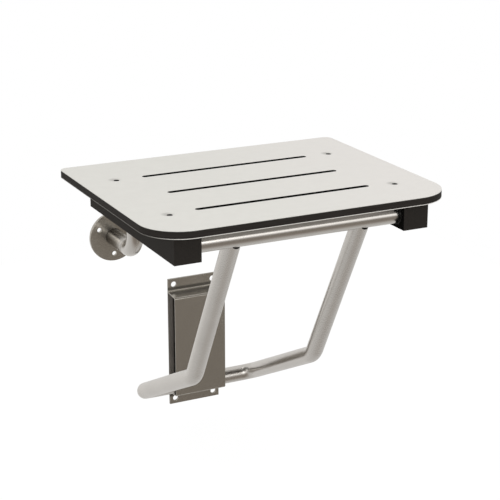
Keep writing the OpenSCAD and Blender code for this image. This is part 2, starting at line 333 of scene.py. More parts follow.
def white_laminate():
    """Warm off-white laminate face, with painted light that makes it a little lighter to the right: a
    fine eggshell texture and a barely seen mottle, and a soft grey patch of painted shade to the left of
    each screw, by the distance from it."""
    material, graph, inputs, _ = grained("white_laminate", (0.745, 0.737, 0.70), (0.38, 0.46), 2500,
                                         bump=(0.02 * MM, 0.35), detail=2.0, specular=0.4)
    mottle = graph.pattern(60)
    flat = graph.made(graph.add("VectorMath", operation="MULTIPLY"), graph.add("TexCoord").outputs["Object"],
                      (1, 1, 0))
    nearest = None
    for x, y in screw_places:
        away = graph.add("VectorMath", operation="DISTANCE")
        graph.made(away, flat, (x + dish_shade_shift[0], y + dish_shade_shift[1], 0))
        away = away.outputs["Value"]
        nearest = away if nearest is None else graph.math("MINIMUM", nearest, away)
    # Painted light: lighter towards the right
    tone = graph.blend(graph.between(graph.parts("Object")["X"], *painted_light_fade),
                       graph.two_tone(mottle, (0.735, 0.727, 0.69), (0.755, 0.747, 0.71)),
                       graph.two_tone(mottle, (0.785, 0.762, 0.735), (0.80, 0.777, 0.75)), "RGBA")
    # Painted shade round each screw's dish
    dish_shade = graph.blend(graph.between(nearest, *dish_shade_reach), (0.50, 0.49, 0.465, 1), tone, "RGBA")
    graph.feed(inputs["Base Color"], dish_shade)
    return material


def laminate_edge():
    """Edge of the lower laminate: white at the front and right, and grey with painted shade on its left
    side.
    """
    material, graph, inputs, mottle = grained("laminate_edge", (0.9, 0.87, 0.83), (0.45, 0.55), 400,
                                              specular=0.2)
    # Painted shade: grey on the left side
    tone = graph.blend(graph.between(graph.parts("Object")["X"], *left_shade_fade),
                       graph.two_tone(mottle, (0.15, 0.142, 0.13), (0.19, 0.18, 0.165)),
                       graph.two_tone(mottle, (0.87, 0.84, 0.80), (0.91, 0.88, 0.84)), "RGBA")
    graph.feed(inputs["Base Color"], tone)
    return material


def satin_steel(name, smoothest, dullest, heat_and_shade_from=None):
    """Tubes: stainless steel with a satin polish and fine polishing lines, between two levels of
    roughness. Where a start along Y is given, the tube turns dark near there: partly heat tint from
    the weld, and partly painted shade."""
    material, graph, inputs, _ = grained(name, (0.66, 0.635, 0.605), (smoothest, dullest), 1800,
                                         bump=(0.002 * MM, 0.05), stretch=(0.15, 1.0, 1.0), detail=3.0,
                                         metallic=1.0)
    color = graph.two_tone(graph.pattern(30), (0.645, 0.62, 0.59), (0.68, 0.655, 0.625))
    if heat_and_shade_from is not None:
        # Heat tint and painted shade, darkest at the start
        clear = graph.between(graph.parts("Object")["Y"], heat_and_shade_from, heat_and_shade_from - heat_and_shade_reach)
        color = graph.blend(clear, (0.10, 0.093, 0.082, 1), color, "RGBA")
    graph.feed(inputs["Base Color"], color)
    return material


def brushed_sheet():
    """Guide bracket and flanges: stainless sheet, brushed up and down, with a dark line of painted shade in
    the corners where the bracket's screw flanges start, by the distance from its middle height."""
    material, graph, inputs, lines = grained("brushed_sheet", (0.50, 0.47, 0.42), (0.19, 0.25), 1500,
                                             bump=(0.003 * MM, 0.15), stretch=(1.0, 1.0, 0.01), metallic=0.8)
    aside = graph.math("ABSOLUTE", graph.parts("Object")["Z"])
    over = graph.between(aside, corner_shade_reach[1], corner_shade_reach[1] + corner_shade_fade[1])
    under = graph.between(aside, corner_shade_reach[0], corner_shade_reach[0] - corner_shade_fade[0])
    clean = graph.two_tone(lines, (0.49, 0.46, 0.41), (0.51, 0.48, 0.43))
    # Painted shade in the bend corners
    corner_shade = graph.blend(graph.math("MAXIMUM", over, under), (0.13, 0.122, 0.11, 1), clean, "RGBA")
    graph.feed(inputs["Base Color"], corner_shade)
    return material


def channel_steel():
    """Inside of the foot bar's channel: dull steel at its open sides, and black with painted shade further
    in, by the distance from the middle plane."""
    material, graph, inputs, cloud = grained("channel_steel", (0.39, 0.36, 0.33), (0.45, 0.58), 45,
                                             metallic=0.3, specular=0.2)
    aside = graph.math("ABSOLUTE", graph.parts("Object")["X"])
    clean = graph.two_tone(cloud, (0.36, 0.333, 0.303), (0.42, 0.39, 0.355))
    # Painted shade further into the channel
    channel_shade = graph.blend(graph.between(aside, *channel_shade_reach), (0.012, 0.011, 0.010, 1), clean, "RGBA")
    graph.feed(inputs["Base Color"], channel_shade)
    return material


laminate_finish = white_laminate()
edge_finish = laminate_edge()
tube_finish = satin_steel("satin_steel", 0.17, 0.23)
leg_finish = satin_steel("leg_steel", 0.25, 0.31)
# The riser darkens by its flange: heat tint and painted shade
riser_finish = satin_steel("riser_steel", 0.19, 0.25, heat_and_shade_from=-flange_t)
sheet_finish = brushed_sheet()
channel_finish = channel_steel()

# Black core of the board: pressed layers of paper seen from the side, as thin level lines
core_finish = grained("phenolic_edge", (0.031, 0.027, 0.0246), (0.48, 0.62), 900,
                      ((0.024, 0.021, 0.0193), (0.041, 0.036, 0.0325)), (0.03 * MM, 0.4),
                      stretch=(0.02, 0.02, 1.0), detail=3.0, specular=0.04)[0]
# Sides of the slots and holes: black like the core, and darker still as painted shade; inner faces of the
# rails: painted shade. Black, rough and dull
cut_and_shade_finish = grained("cut_black_and_shade", (0.004, 0.0038, 0.0035), (0.85, 0.95), 600, specular=0.05)[0]
# Rails: black, planed along their length, with a dull sheen
rail_finish = grained("black_rail", (0.032, 0.0285, 0.0255), (0.46, 0.6), 1200,
                      ((0.0275, 0.0245, 0.022), (0.0405, 0.036, 0.032)), (0.02 * MM, 0.4),
                      stretch=(1.0, 0.03, 1.0), detail=3.0, specular=0.03)[0]
# Plate behind the bracket: unbrushed steel, dull and cloudy
plate_finish = grained("mill_plate", (0.42, 0.39, 0.355), (0.45, 0.58), 45,
                       ((0.36, 0.333, 0.303), (0.42, 0.39, 0.355)), metallic=0.3, specular=0.2)[0]
# Weld beads: duller steel, tinted by heat. Seams: dark steel tinted by heat, which also paints shade in a
# ring round each riser's elbow
weld_finish, seam_and_shade_finish = (
    grained(name, light, (0.34, 0.5), 220, (dark, light), metallic=1.0)[0]
    for name, dark, light in (("weld_steel", (0.40, 0.37, 0.335), (0.50, 0.475, 0.44)),
                              ("seam_and_shade_steel", (0.035, 0.03, 0.026), (0.07, 0.06, 0.052))))
# Painted shade in the arm joints: a black, rough strip that stands in for the shadow in the gap under the
# crossbar
joint_shade_finish = grained("painted_joint_shade", (0.006, 0.0055, 0.005), (0.75, 0.95), 800, specular=0.1)[0]
# Screws: dark dull steel
screw_finish = grained("screw_steel", (0.12, 0.113, 0.105), (0.3, 0.46), 900, metallic=1.0)[0]
# Bushes and plugs: moulded black nylon
bush_finish, plug_finish = (grained(name, (0.008, 0.008, 0.008), (0.38, 0.52), 700, specular=0.12)[0]
                            for name in ("bush_nylon", "plug_nylon"))

cad_finishes = {
    "flange_steel": sheet_finish,
    "satin_tube": tube_finish,
    "plug": plug_finish,
    "bracket_sheet": sheet_finish,
    "phenolic_core": core_finish,
    "white_laminate": laminate_finish,
    "black_rail": rail_finish,
    "screw_steel": screw_finish,
    "nylon_bush": bush_finish,
}


# Meshes


def shown(name, data):
    """A new object of the scene."""
    thing = bpy.data.objects.new(name, data)
    bpy.context.scene.collection.objects.link(thing)
    return thing


class Skin:
    """Gathers the grids and flat faces of one piece and makes its mesh."""

    def __init__(self):
        self.points = []
        self.faces = []
        self.count = 0

    def vertices(self, points):
        """Adds an array of points and returns their numbers in the same layout."""
        numbers = self.count + np.arange(points[..., 0].size).reshape(points.shape[:-1])
        self.points.append(points.reshape(-1, 3))
        self.count += numbers.size
        return numbers

    def strip(self, numbers, close_rows=False):
        """Four-sided faces between neighbouring rows of a grid whose columns run round."""
        if close_rows:
            numbers = np.vstack([numbers, numbers[:1]])
        numbers = np.hstack([numbers, numbers[:, :1]])
        quads = np.stack([numbers[:-1, :-1], numbers[:-1, 1:], numbers[1:, 1:], numbers[1:, :-1]], -1)
        self.faces += quads.reshape(-1, 4).tolist()

    def cap(self, ring):
        """One flat face round a ring of vertex numbers."""
        self.faces.append(ring.tolist())

    def make(self, name, finish, body, replaced=(), smooth=35):
        """The finished object: doubles merged, faces turned outwards, and riding on its body."""
        mesh = bpy.data.meshes.new(name)
        mesh.from_pydata(np.concatenate(self.points).tolist(), [], self.faces)
        work = bmesh.new()
        work.from_mesh(mesh)
        bmesh.ops.remove_doubles(work, verts=work.verts, dist=0.002 * MM)
        bmesh.ops.recalc_face_normals(work, faces=work.faces)
        work.to_mesh(mesh)
        work.free()
        mesh.shade_smooth()
        mesh.set_sharp_from_angle(angle=np.radians(smooth))
        mesh.materials.append(finish)
        piece = shown(name, mesh)
        evener = piece.modifiers.new("even_normals", "WEIGHTED_NORMAL")
        evener.keep_sharp = True
        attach(piece, body)
        if replaced:
            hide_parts(*replaced)
        return piece


def arc_loop(centres, radii, starts, turns, steps, inwards=False):
    """Closed outline of circle arcs joined by straight lines. Arc i has points centre + r (cos a,
    sin a), with a running from its start over its turn. The second array is the direction out of
    the material, which is the arcs' own radius, or its opposite for a hole."""
    a = np.asarray(starts, float)[:, None] + np.asarray(turns, float)[:, None] * np.linspace(0, 1, steps)
    out = np.stack([np.cos(a), np.sin(a)], -1)
    points = np.asarray(centres, float)[:, None] + np.asarray(radii, float)[:, None, None] * out
    return points.reshape(-1, 2), (-out if inwards else out).reshape(-1, 2)


def box_loop(x0, x1, y0, y1, r_low, r_high, steps=12):
    """Outline of a box with round corners: r_low at its y0 side and r_high at its y1 side."""
    centres = [(x1 - r_high, y1 - r_high), (x0 + r_high, y1 - r_high),
               (x0 + r_low, y0 + r_low), (x1 - r_low, y0 + r_low)]
    starts = np.radians([0, 90, 180, 270])
    return arc_loop(centres, [r_high, r_high, r_low, r_low], starts, [np.pi / 2] * 4, steps)


def circle(x, y, r, steps=48, inwards=True):
    """Outline of a round hole, or of a disc when not inwards."""
    turn = 2 * np.pi * (steps - 1) / steps
    return arc_loop([(x, y)], [r], [0], [turn], steps, inwards)


def slot_hole(x, y, length, width, steps=16):
    """A slot's outline: two half circles joined by straight sides."""
    reach = (length - width) / 2
    centres = [(x + reach, y), (x - reach, y)]
    starts = np.radians([-90, 90])
    return arc_loop(centres, [width / 2] * 2, starts, [np.pi] * 2, steps, inwards=True)


def eased(bottom, top, ease, steps=5):
    """Profile of a wall between two flat faces, as rows of inset and height: a quarter circle of
    radius ease over the top edge, the wall, and a quarter circle under the bottom edge."""
    a = np.linspace(np.pi / 2, 0, steps)
    upper = np.stack([ease * (1 - np.cos(a)), top - ease + ease * np.sin(a)], 1)
    lower = np.stack([ease * (1 - np.cos(a[::-1])), bottom + ease - ease * np.sin(a[::-1])], 1)
    return np.concatenate([upper, lower])


def chamfered(bottom, top, ease):
    """Profile of a slot's side: a slope as wide as deep at the top, then the wall."""
    return np.array([[ease, top], [0, top - ease], [0, bottom]])


def dished(bottom, top, depth, width, steps=12):
    """Profile of a hole in a dish: the face sinks by depth over width, and ends in a steep rim round
    the wall that goes down."""
    rim = dish_rim * width
    t = np.linspace(0, 1, steps)
    sink = np.stack([rim + (width - rim) * (1 - t), top - depth * smooth_step(t)], 1)
    return np.concatenate([sink, [[0, top - depth - rim / 2], [0, bottom]]])


def fill(skin, rings, points, lines=()):
    """Fills the flat region between an outer ring and the holes in it with triangles. points are
    the rings' places in the plane; lines are pairs of vertex numbers joined by an edge."""
    numbers = np.concatenate(rings)
    edges = []
    start = 0
    for ring in rings:
        here = start + np.arange(len(ring))
        edges += np.stack([here, np.roll(here, -1)], 1).tolist()
        start += len(ring)
    edges += [tuple(pair) for pair in lines]
    _, _, faces, origins, _, _ = delaunay_2d_cdt(points.tolist(), edges, [], 0, 1e-9)
    source = np.array([o[0] for o in origins])
    triangles = source[np.array([f for f in faces if len(f) == 3])]
    centres = points[triangles].mean(1)
    keep = inside(centres, points[:len(rings[0])])
    start = len(rings[0])
    for ring in rings[1:]:
        keep &= ~inside(centres, points[start:start + len(ring)])
        start += len(ring)
    skin.faces += numbers[triangles[keep]].tolist()


def inside(points, ring):
    """True for each point with an odd number of the ring's edges to its right."""
    a, b = ring[None], np.roll(ring, -1, 0)[None]
    p = points[:, None]
    crosses = (a[..., 1] > p[..., 1]) != (b[..., 1] > p[..., 1])
    rise = np.where(b[..., 1] == a[..., 1], 1, b[..., 1] - a[..., 1])
    x = a[..., 0] + (p[..., 1] - a[..., 1]) * (b[..., 0] - a[..., 0]) / rise
    return (crosses & (p[..., 0] < x)).sum(1) % 2 == 1


def plate(skin, walls, place, blind=(), lines=()):
    """A flat plate with holes. Each wall is a loop and a profile: point j of the loop, moved into
    the material by the profile's inset, at the profile's height. Blind holes end in a flat floor.
    place turns an array of x, y and height into points of the object."""
    tops, bottoms, plans = [], [], [[], []]
    for kind, (loop, profile) in [("through", w) for w in walls] + [("blind", w) for w in blind]:
        inset, height = profile[:, 0][:, None, None], profile[:, 1][:, None]
        plan = loop[0][None] - inset * loop[1][None]
        grid = np.concatenate([plan, np.broadcast_to(height[..., None], plan.shape[:2] + (1,))], -1)
        numbers = skin.vertices(place(grid))
        skin.strip(numbers)
        tops.append(numbers[0])
        plans[0].append(plan[0])
        if kind == "through":
            bottoms.append(numbers[-1])
            plans[1].append(plan[-1])
        else:
            skin.cap(numbers[-1])
    fill(skin, tops, np.concatenate(plans[0]), lines)
    fill(skin, bottoms, np.concatenate(plans[1]), lines)


def as_drawn(grid):
    """Leaves a plate flat."""
    return grid


def on_wall(grid):
    """Stands a plate up against the wall: its x stays, its y becomes Z and its height becomes -Y."""
    return np.stack([grid[..., 0], -grid[..., 2], grid[..., 1]], -1)


def sideways(side):
    """Stands a plate on edge: its x becomes Y, its y becomes Z, and its height becomes X away from
    the middle plane, on the side of the given sign."""
    return lambda grid: np.stack([side * grid[..., 2], grid[..., 0], grid[..., 1]], -1)


def pipe(skin, centres, across, up, radius, starts=None, sides=tube_sides):
    """Hollow tube of constant wall. Point (i, j) of the outer skin lies at centre i plus radius
    times (across i cos a + up i sin a); the inner skin is the same a wall further in, and rounded
    lips join them. starts, if given, moves the first row along the tube by an amount for each j."""
    a = angles(sides)
    round_part = np.linspace(0, np.pi, 7)[1:-1]
    ahead = unit(np.gradient(centres, axis=0))
    half = tube_wall / 2
    rows = [
        (slice(None), radius, 0),
        (slice(-1, None), radius - half + half * np.cos(round_part), lip * np.sin(round_part)),
        (slice(None, None, -1), radius - tube_wall, 0),
        (slice(0, 1), radius - half - half * np.cos(round_part), -lip * np.sin(round_part)),
    ]
    grids = []
    for order, r, lift in rows:
        r, lift = np.reshape(r, (-1, 1, 1)), np.reshape(lift, (-1, 1, 1))
        ring = across[order][:, None] * np.cos(a)[:, None] + up[order][:, None] * np.sin(a)[:, None]
        grids.append(centres[order][:, None] + r * ring + lift * ahead[order][:, None])
    if starts is not None:
        shift = ahead[0] * starts[:, None]
        grids[0][0] += shift
        grids[2][-1] += shift
        grids[3] += shift
    numbers = skin.vertices(np.concatenate(grids))
    skin.strip(numbers, close_rows=True)


def line(start, end, steps=2):
    """Points evenly along a straight line, without the last one."""
    return start + (end - start) * np.linspace(0, 1, steps, endpoint=False)[:, None]


def arc(corner, before, after, bend_r):
    """A circle of radius bend_r that rounds a corner between two headings: its points, the
    headings there, and how far before the corner it starts."""
    turn = np.arccos(np.clip(before @ after, -1, 1))
    tangent = bend_r * np.tan(turn / 2)
    inward = unit(after - before * (before @ after))
    a = np.linspace(0, turn, bend_steps, endpoint=False)[:, None]
    start = corner - before * tangent
    points = start + bend_r * (np.sin(a) * before + (1 - np.cos(a)) * inward)
    return points, np.cos(a) * before + np.sin(a) * inward, tangent


def ring_bead(skin, centres, outward, radius, ripples, depth=0.12, sides=12):
    """Weld bead along a closed line: a circle round each point, in the plane of the outward
    direction and the line's normal, whose radius rises and falls with the ripples of the weld."""
    ahead = unit(np.roll(centres, -1, 0) - np.roll(centres, 1, 0))
    side = unit(np.cross(ahead, outward))
    out = np.cross(side, ahead)
    a = angles(sides)
    t = angles(len(centres))
    r = radius * (1 + depth * np.cos(ripples * t))[:, None, None]
    ring = out[:, None] * np.cos(a)[:, None] + side[:, None] * np.sin(a)[:, None]
    skin.strip(skin.vertices(centres[:, None] + r * ring), close_rows=True)


def turned(skin, profile, centre, axis, across, sides=48, key=None):
    """Surface of revolution: profile rows of radius and height turned round an axis. Where key
    says so, a row follows a hexagon instead of a circle."""
    a = angles(sides)
    other = np.cross(axis, across)
    ring = across * np.cos(a)[:, None] + other * np.sin(a)[:, None]
    hexagon = 1 / np.cos((a + np.pi / 6) % (np.pi / 3) - np.pi / 6)
    shape = np.ones((len(profile), sides))
    if key is not None:
        shape[key] = hexagon
    r = (profile[:, 0][:, None] * shape)[..., None]
    return skin.vertices(centre + r * ring + profile[:, 1][:, None, None] * axis)


X, Y, Z = np.eye(3)
both_sides = ((-1, "left"), (1, "right"))


# Seat board

board_low, board_high = low("top_laminate"), high("top_laminate")
board_outline = box_loop(board_low[0], board_high[0], board_low[1], board_high[1],
                         front_corner_r, rear_corner_r, bend_steps)
drain_slots = [slot_hole(0, board_low[1] + slot_setback + i * slot_pitch, slot_length, slot_width)
               for i in range(slot_count)]


def board_part(name, node, finish, ease, top_dish=False):
    """One layer of the board: its outline, the drain slots and the screw holes."""
    bottom, top = low(node)[2], high(node)[2]
    skin = Skin()
    cut = hole = eased(bottom, top, core_ease)
    if top_dish:
        cut = chamfered(bottom, top, cut_ease)
        hole = dished(bottom, top, dish_depth, dish_r - hole_r)
    walls = [(board_outline, eased(bottom, top, ease))]
    walls += [(loop, cut) for loop in drain_slots]
    walls += [(circle(x, y, hole_r), hole) for x, y in screw_places]
    plate(skin, walls, as_drawn)
    return skin.make(name, finish, "seat", [node])


# From this part of its normal on, a face counts as facing along an axis; the second is for the
# edges of the bracket's sheet
slant = 0.8
edge_slant = 0.5


def more_finish(piece, finish, choose):
    """Gives one more finish to the faces that a test of their centres and normals picks."""
    mesh = piece.data
    places, normals = np.empty((2, len(mesh.polygons), 3))
    numbers = np.empty(len(mesh.polygons), np.int32)
    mesh.polygons.foreach_get("center", places.ravel())
    mesh.polygons.foreach_get("normal", normals.ravel())
    mesh.polygons.foreach_get("material_index", numbers)
    numbers[choose(places, normals)] = len(mesh.materials)
    mesh.materials.append(finish)
    mesh.polygons.foreach_set("material_index", numbers)


def steep_cuts(places, normals):
    """The steep faces of the board's slots and holes."""
    x, y = places[:, 0], places[:, 1]
    in_hole = np.any([np.hypot(x - at[0], y - at[1]) < dish_r for at in screw_places], 0)
    in_slot = (np.abs(x) < slot_length / 2 + cut_ease) & (y > board_low[1] + dish_r)
    in_slot &= y < board_high[1] - dish_r
    return (in_hole | in_slot) & (np.abs(normals[:, 2]) < slant)


def board_rim(places, normals):
    """The upright faces of the board's outline."""
    return ~steep_cuts(places, normals) & (np.abs(normals[:, 2]) < slant)


def faces_middle(places, normals):
    """Faces that look at the seat's middle plane."""
    return places[:, 0] * normals[:, 0] < -slant * np.abs(places[:, 0])


def in_channel(places, normals):
    """Faces that look into the channel behind the bracket's face, but for the sheet's edges."""
    middle_y = (low("guide_bracket")[1] + high("guide_back_plate")[1]) / 2
    towards = (middle_y - places[:, 1]) * normals[:, 1] - places[:, 2] * normals[:, 2]
    within = np.abs(places[:, 2]) < bracket_base / 2
    within &= places[:, 1] > low("guide_bracket")[1] + channel_start
    return within & (towards > 0) & (np.abs(normals[:, 0]) < edge_slant)


top_face = board_part("top_face", "top_laminate", laminate_finish, face_ease, top_dish=True)
board_core = board_part("board_core", "seat_core", core_finish, core_ease)
bottom_face = board_part("bottom_face", "bottom_laminate", laminate_finish, under_ease)
for layer in (top_face, board_core, bottom_face):
    more_finish(layer, cut_and_shade_finish, steep_cuts)
more_finish(bottom_face, edge_finish, board_rim)


def board_screws():
    """Four countersunk screws: a flat head with a hexagonal socket, a cone and a plain shank."""
    skin = Skin()
    top = high("board_screws")[2]
    tip = low("board_screws")[2]
    cone = screw_head_r - screw_r
    flat = screw_key / 2
    profile = np.array([
        [blunt * flat, top - cone * socket_depth], [flat, top - cone], [flat, top - key_ease],
        [flat + key_ease, top], [screw_head_r - screw_ease, top], [screw_head_r, top - screw_ease],
        [screw_r, top - cone], [screw_r, tip + tip_length], [blunt * screw_r, tip],
    ])
    for x, y in screw_places:
        numbers = turned(skin, profile, np.array([x, y, 0]), Z, X, key=[1, 2, 3])
        skin.strip(numbers)
        skin.cap(numbers[0])
        skin.cap(numbers[-1])
    return skin.make("countersunk_screws", screw_finish, "seat", ["board_screws"])


board_screws()


# Rails and bushes


def rail(side, name, node):
    """One rail: a bar with eased edges and a blind pivot bore near each end of its inner face."""
    start, end = low(node), high(node)
    inner, outer = sorted([abs(start[0]), abs(end[0])])
    bore_r = tube_r + bush_clearance + bush_wall
    outline = box_loop(start[1], end[1], start[2], end[2], rail_ease, rail_ease, steps=5)
    profile = eased(inner, outer, rail_ease)
    bore = np.array([[bore_ease, inner], [0, inner + bore_ease], [0, inner + bore_depth]])
    blind = [(circle(p[1], p[2], bore_r, 64), bore) for p in (crossbar, rear_bar)]
    skin = Skin()
    plate(skin, [(outline, profile[::-1])], sideways(side), blind)
    return skin.make(name, rail_finish, "seat", [node])


def bush(side, name, node, pivot):
    """One pivot bush: a sleeve with eased ends."""
    start = min(abs(low(node)[0]), abs(high(node)[0]))
    end = start + bore_depth
    r0, r1 = tube_r + bush_clearance, tube_r + bush_clearance + bush_wall
    e = bush_ease
    profile = np.array([[r0 + e, start], [r1 - e, start], [r1, start + e], [r1, end - e],
                        [r1 - e, end], [r0 + e, end], [r0, end - e], [r0, start + e]])
    skin = Skin()
    centre = np.array([0, pivot[1], pivot[2]])
    skin.strip(turned(skin, profile, centre, side * X, Y, sides=64), close_rows=True)
    return skin.make(name, bush_finish, "seat", [node])


for side, word in both_sides:
    # The rails' inner faces get the black cut finish as painted shade
    more_finish(rail(side, word + "_side_rail", word + "_rail"), cut_and_shade_finish, faces_middle)
    bush(side, word + "_rear_sleeve", word + "_rear_bush", rear_bar)
    bush(side, word + "_front_sleeve", word + "_front_bush", crossbar)


# Straight tubes


def straight_tube(name, node, body):
    """A straight tube along X between the ends of its node."""
    start, end = low(node), high(node)
    axis = middle(node)
    centres = np.tile(axis, (bar_steps, 1))
    centres[:, 0] = np.linspace(start[0] + lip, end[0] - lip, bar_steps)
    across, up = np.tile(Y, (bar_steps, 1)), np.tile(Z, (bar_steps, 1))
    skin = Skin()
    pipe(skin, centres, across, up, tube_r, sides=96)
    return skin.make(name, tube_finish, body, [node])


straight_tube("rear_bar", "rear_pivot_bar", "wall_frame")
straight_tube("front_bar", "front_crossbar", "leg_frame")
straight_tube("foot_bar_middle", "foot_bar", "foot_slider")


# Legs


def leg_path(side):
    """Middle line of one leg with its across and up directions: arm, knee, shin, corner at the
    wall and the stub that points at the other leg."""
    top = np.array([side * leg_x, crossbar[1], crossbar[2]])
    knee = np.array([side * leg_x, knee_y, knee_z])
    heel = np.array([side * leg_x, foot[1], foot[2]])
    end = np.array([side * (leg_end_x + lip), foot[1], foot[2]])
    arm, shin, stub = unit(knee - top), unit(heel - knee), -side * X
    knee_bend, knee_ahead, knee_tangent = arc(knee, arm, shin, knee_bend_r)
    corner_bend, corner_ahead, corner_tangent = arc(heel, shin, stub, corner_bend_r)
    arm_part = line(top + arm * tube_r, knee - arm * knee_tangent, run_steps)
    shin_part = line(knee + shin * knee_tangent, heel - shin * corner_tangent, run_steps)
    stub_part = np.concatenate([line(heel + stub * corner_tangent, end, 4), [end]])
    side_part = np.concatenate([arm_part, knee_bend, shin_part])
    centres = np.concatenate([side_part, corner_bend, stub_part])
    ahead = np.concatenate([
        np.tile(arm, (run_steps, 1)), knee_ahead, np.tile(shin, (run_steps, 1)),
        corner_ahead, np.tile(stub, (len(stub_part), 1)),
    ])
    in_side_plane = np.arange(len(centres)) < len(side_part)
    up = unit(np.where(in_side_plane[:, None], np.cross(ahead, X), np.cross(shin, X)))
    return centres, np.cross(up, ahead), up


def cope(a):
    """How far along a tube the point at angle a of its end lies from the axis of the equal tube
    that it is coped to."""
    return np.sqrt((tube_r + weld_gap) ** 2 - (tube_r * np.sin(a)) ** 2)


coped_starts = cope(angles(tube_sides)) - tube_r


def leg(side, name, node):
    """One leg tube, coped to the crossbar."""
    skin = Skin()
    pipe(skin, *leg_path(side), tube_r, starts=coped_starts)
    return skin.make(name, leg_finish, "leg_frame", [node])


def arm_joint_shade(side, name):
    """Painted shade at an arm's joint under the crossbar: a black flat strip round the front of the arm
    that rises towards the front and tapers to both ends."""
    centres, across, up = leg_path(side)
    arm = unit(centres[1] - centres[0])
    top = np.array([side * leg_x, crossbar[1], crossbar[2]])
    a = np.linspace(*joint_shade_ends, bend_steps)
    out = across[0] * np.cos(a)[:, None] + up[0] * np.sin(a)[:, None]
    middles = top + arm * np.linspace(*joint_shade_places, bend_steps)[:, None] + tube_r * out
    t = np.linspace(-1, 1, len(a))
    r = joint_shade_r * np.sqrt(np.maximum(1 - t ** 2, 0.002))[:, None, None]
    b = angles(12)[:, None]
    ring = joint_shade_flatness * out[:, None] * np.cos(b) + arm * np.sin(b)
    skin = Skin()
    numbers = skin.vertices(middles[:, None] + r * ring)
    skin.strip(numbers)
    skin.cap(numbers[0])
    skin.cap(numbers[-1])
    return skin.make(name, joint_shade_finish, "leg_frame")


for side, word in both_sides:
    leg(side, word + "_leg", word + "_leg_tube")
    arm_joint_shade(side, word + "_arm_joint_shade")


# Risers and wall flanges


def riser(side, name, node):
    """One riser: out of its flange, round the elbow and up to the rear pivot bar."""
    top = np.array([side * riser_x, rear_bar[1], rear_bar[2]])
    elbow = np.array([side * riser_x, rear_bar[1], flange_z])
    root = np.array([side * riser_x, -flange_t, flange_z])
    down, back = -Z, Y
    bend, bend_ahead, tangent = arc(elbow, down, back, riser_bend_r)
    upright = line(top + down * tube_r, elbow - down * tangent, 6)
    level_part = np.concatenate([line(elbow + back * tangent, root, 4), [root]])
    centres = np.concatenate([upright, bend, level_part])
    ahead = np.concatenate([np.tile(down, (len(upright), 1)), bend_ahead,
                            np.tile(back, (len(level_part), 1))])
    up = np.cross(ahead, X)
    skin = Skin()
    pipe(skin, centres, np.cross(up, ahead), up, tube_r, starts=coped_starts)
    return skin.make(name, riser_finish, "wall_frame", [node])


def flange(side, name, node):
    """One wall flange: a round plate with a rounded rim and its screw holes."""
    centre = middle(node)
    outline = circle(centre[0], centre[2], flange_r, 128, inwards=False)
    walls = [(outline, np.concatenate([eased(0, flange_t, flange_ease)[:5], [[0, 0]]]))]
    for a in flange_hole_angles:
        x = centre[0] + side * flange_bolt_circle / 2 * np.cos(a)
        z = centre[2] + flange_bolt_circle / 2 * np.sin(a)
        walls.append((circle(x, z, flange_hole_d / 2, 40), eased(0, flange_t, sheet_ease)))
    skin = Skin()
    plate(skin, walls, on_wall)
    return skin.make(name, sheet_finish, "wall_frame", [node])


def riser_welds(side, name):
    """The bead round the riser's top under the rear bar."""
    a = angles(120)
    skin = Skin()
    out = X * np.cos(a)[:, None] + Y * np.sin(a)[:, None]
    reach = tube_r * np.abs(np.cos(a))[:, None]
    saddle = np.array([side * riser_x, rear_bar[1], rear_bar[2]]) + tube_r * out - Z * reach
    ring_bead(skin, saddle, out, bead_r, bead_ripples)
    return skin.make(name, weld_finish, "wall_frame")


def riser_seams_and_shade(side, name):
    """Dark rings round the riser: a ground seam at its flange, and a ring of painted shade where its elbow
    starts.
    """
    a = angles(96)
    out = X * np.cos(a)[:, None] + Z * np.sin(a)[:, None]
    skin = Skin()
    for y, r in ((-flange_t - seam_and_shade_r, flange_seam_r), (rear_bar[1] + riser_bend_r, seam_and_shade_r)):
        ring = np.array([side * riser_x, y, flange_z]) + (tube_r - seam_and_shade_r / 2) * out
        ring_bead(skin, ring, out, r, 1, depth=0.3)
    return skin.make(name, seam_and_shade_finish, "wall_frame")


for side, word in both_sides:
    riser(side, word + "_riser", word + "_riser_tube")
    flange(side, word + "_flange_plate", word + "_wall_flange")
    riser_welds(side, word + "_riser_welds")
    riser_seams_and_shade(side, word + "_riser_seams_and_shade")


# Guide bracket


def fold_path():
    """Corner points of the bracket's middle surface seen from the side, as [y, z], from its lower
    end to its upper one."""
    top = high("guide_bracket")[2]
    back = high("guide_bracket")[1] - sheet_t / 2
    front = low("guide_bracket")[1] + sheet_t / 2
    lean = np.arctan2((bracket_base - bracket_face) / 2, back - front)
    drop = sheet_t / 2 * (np.tan(lean) - 1 / np.cos(lean))
    upper = np.array([[front, bracket_face / 2 + drop], [back, bracket_base / 2 + drop], [back, top]])
    return np.concatenate([upper[::-1] * [1, -1], upper])


def fold_line():
    """The bracket's middle line as lengths along it, points and headings, fine in the bends."""
    corners = fold_path()
    r = sheet_bend_r + sheet_t / 2
    runs = unit(np.diff(corners, axis=0))
    points, heads = [corners[0]], [runs[0]]
    for k in range(1, len(corners) - 1):
        before, after = runs[k - 1], runs[k]
        turn = np.arctan2(before[0] * after[1] - before[1] * after[0], before @ after)
        start = corners[k] - before * r * np.tan(abs(turn) / 2)
        left = np.array([-before[1], before[0]]) * np.sign(turn)
        a = np.linspace(0, abs(turn), fold_steps)[:, None]
        points += list(start + r * (np.sin(a) * before + (1 - np.cos(a)) * left))
        heads += list(np.cos(a) * before + np.sin(a) * left)
    points = np.array(points + [corners[-1]])
    heads = np.array(heads + [runs[-1]])
    along = np.concatenate([[0], np.cumsum(arc_lengths(points, heads))])
    return along, points, heads


def arc_lengths(points, heads):
    """True length between neighbouring points of a line of straight runs and circle arcs."""
    chord = np.linalg.norm(np.diff(points, axis=0), axis=1)
    half_turn = np.arccos(np.clip((heads[:-1] * heads[1:]).sum(1), -1, 1)) / 2
    return chord / np.sinc(half_turn / np.pi)


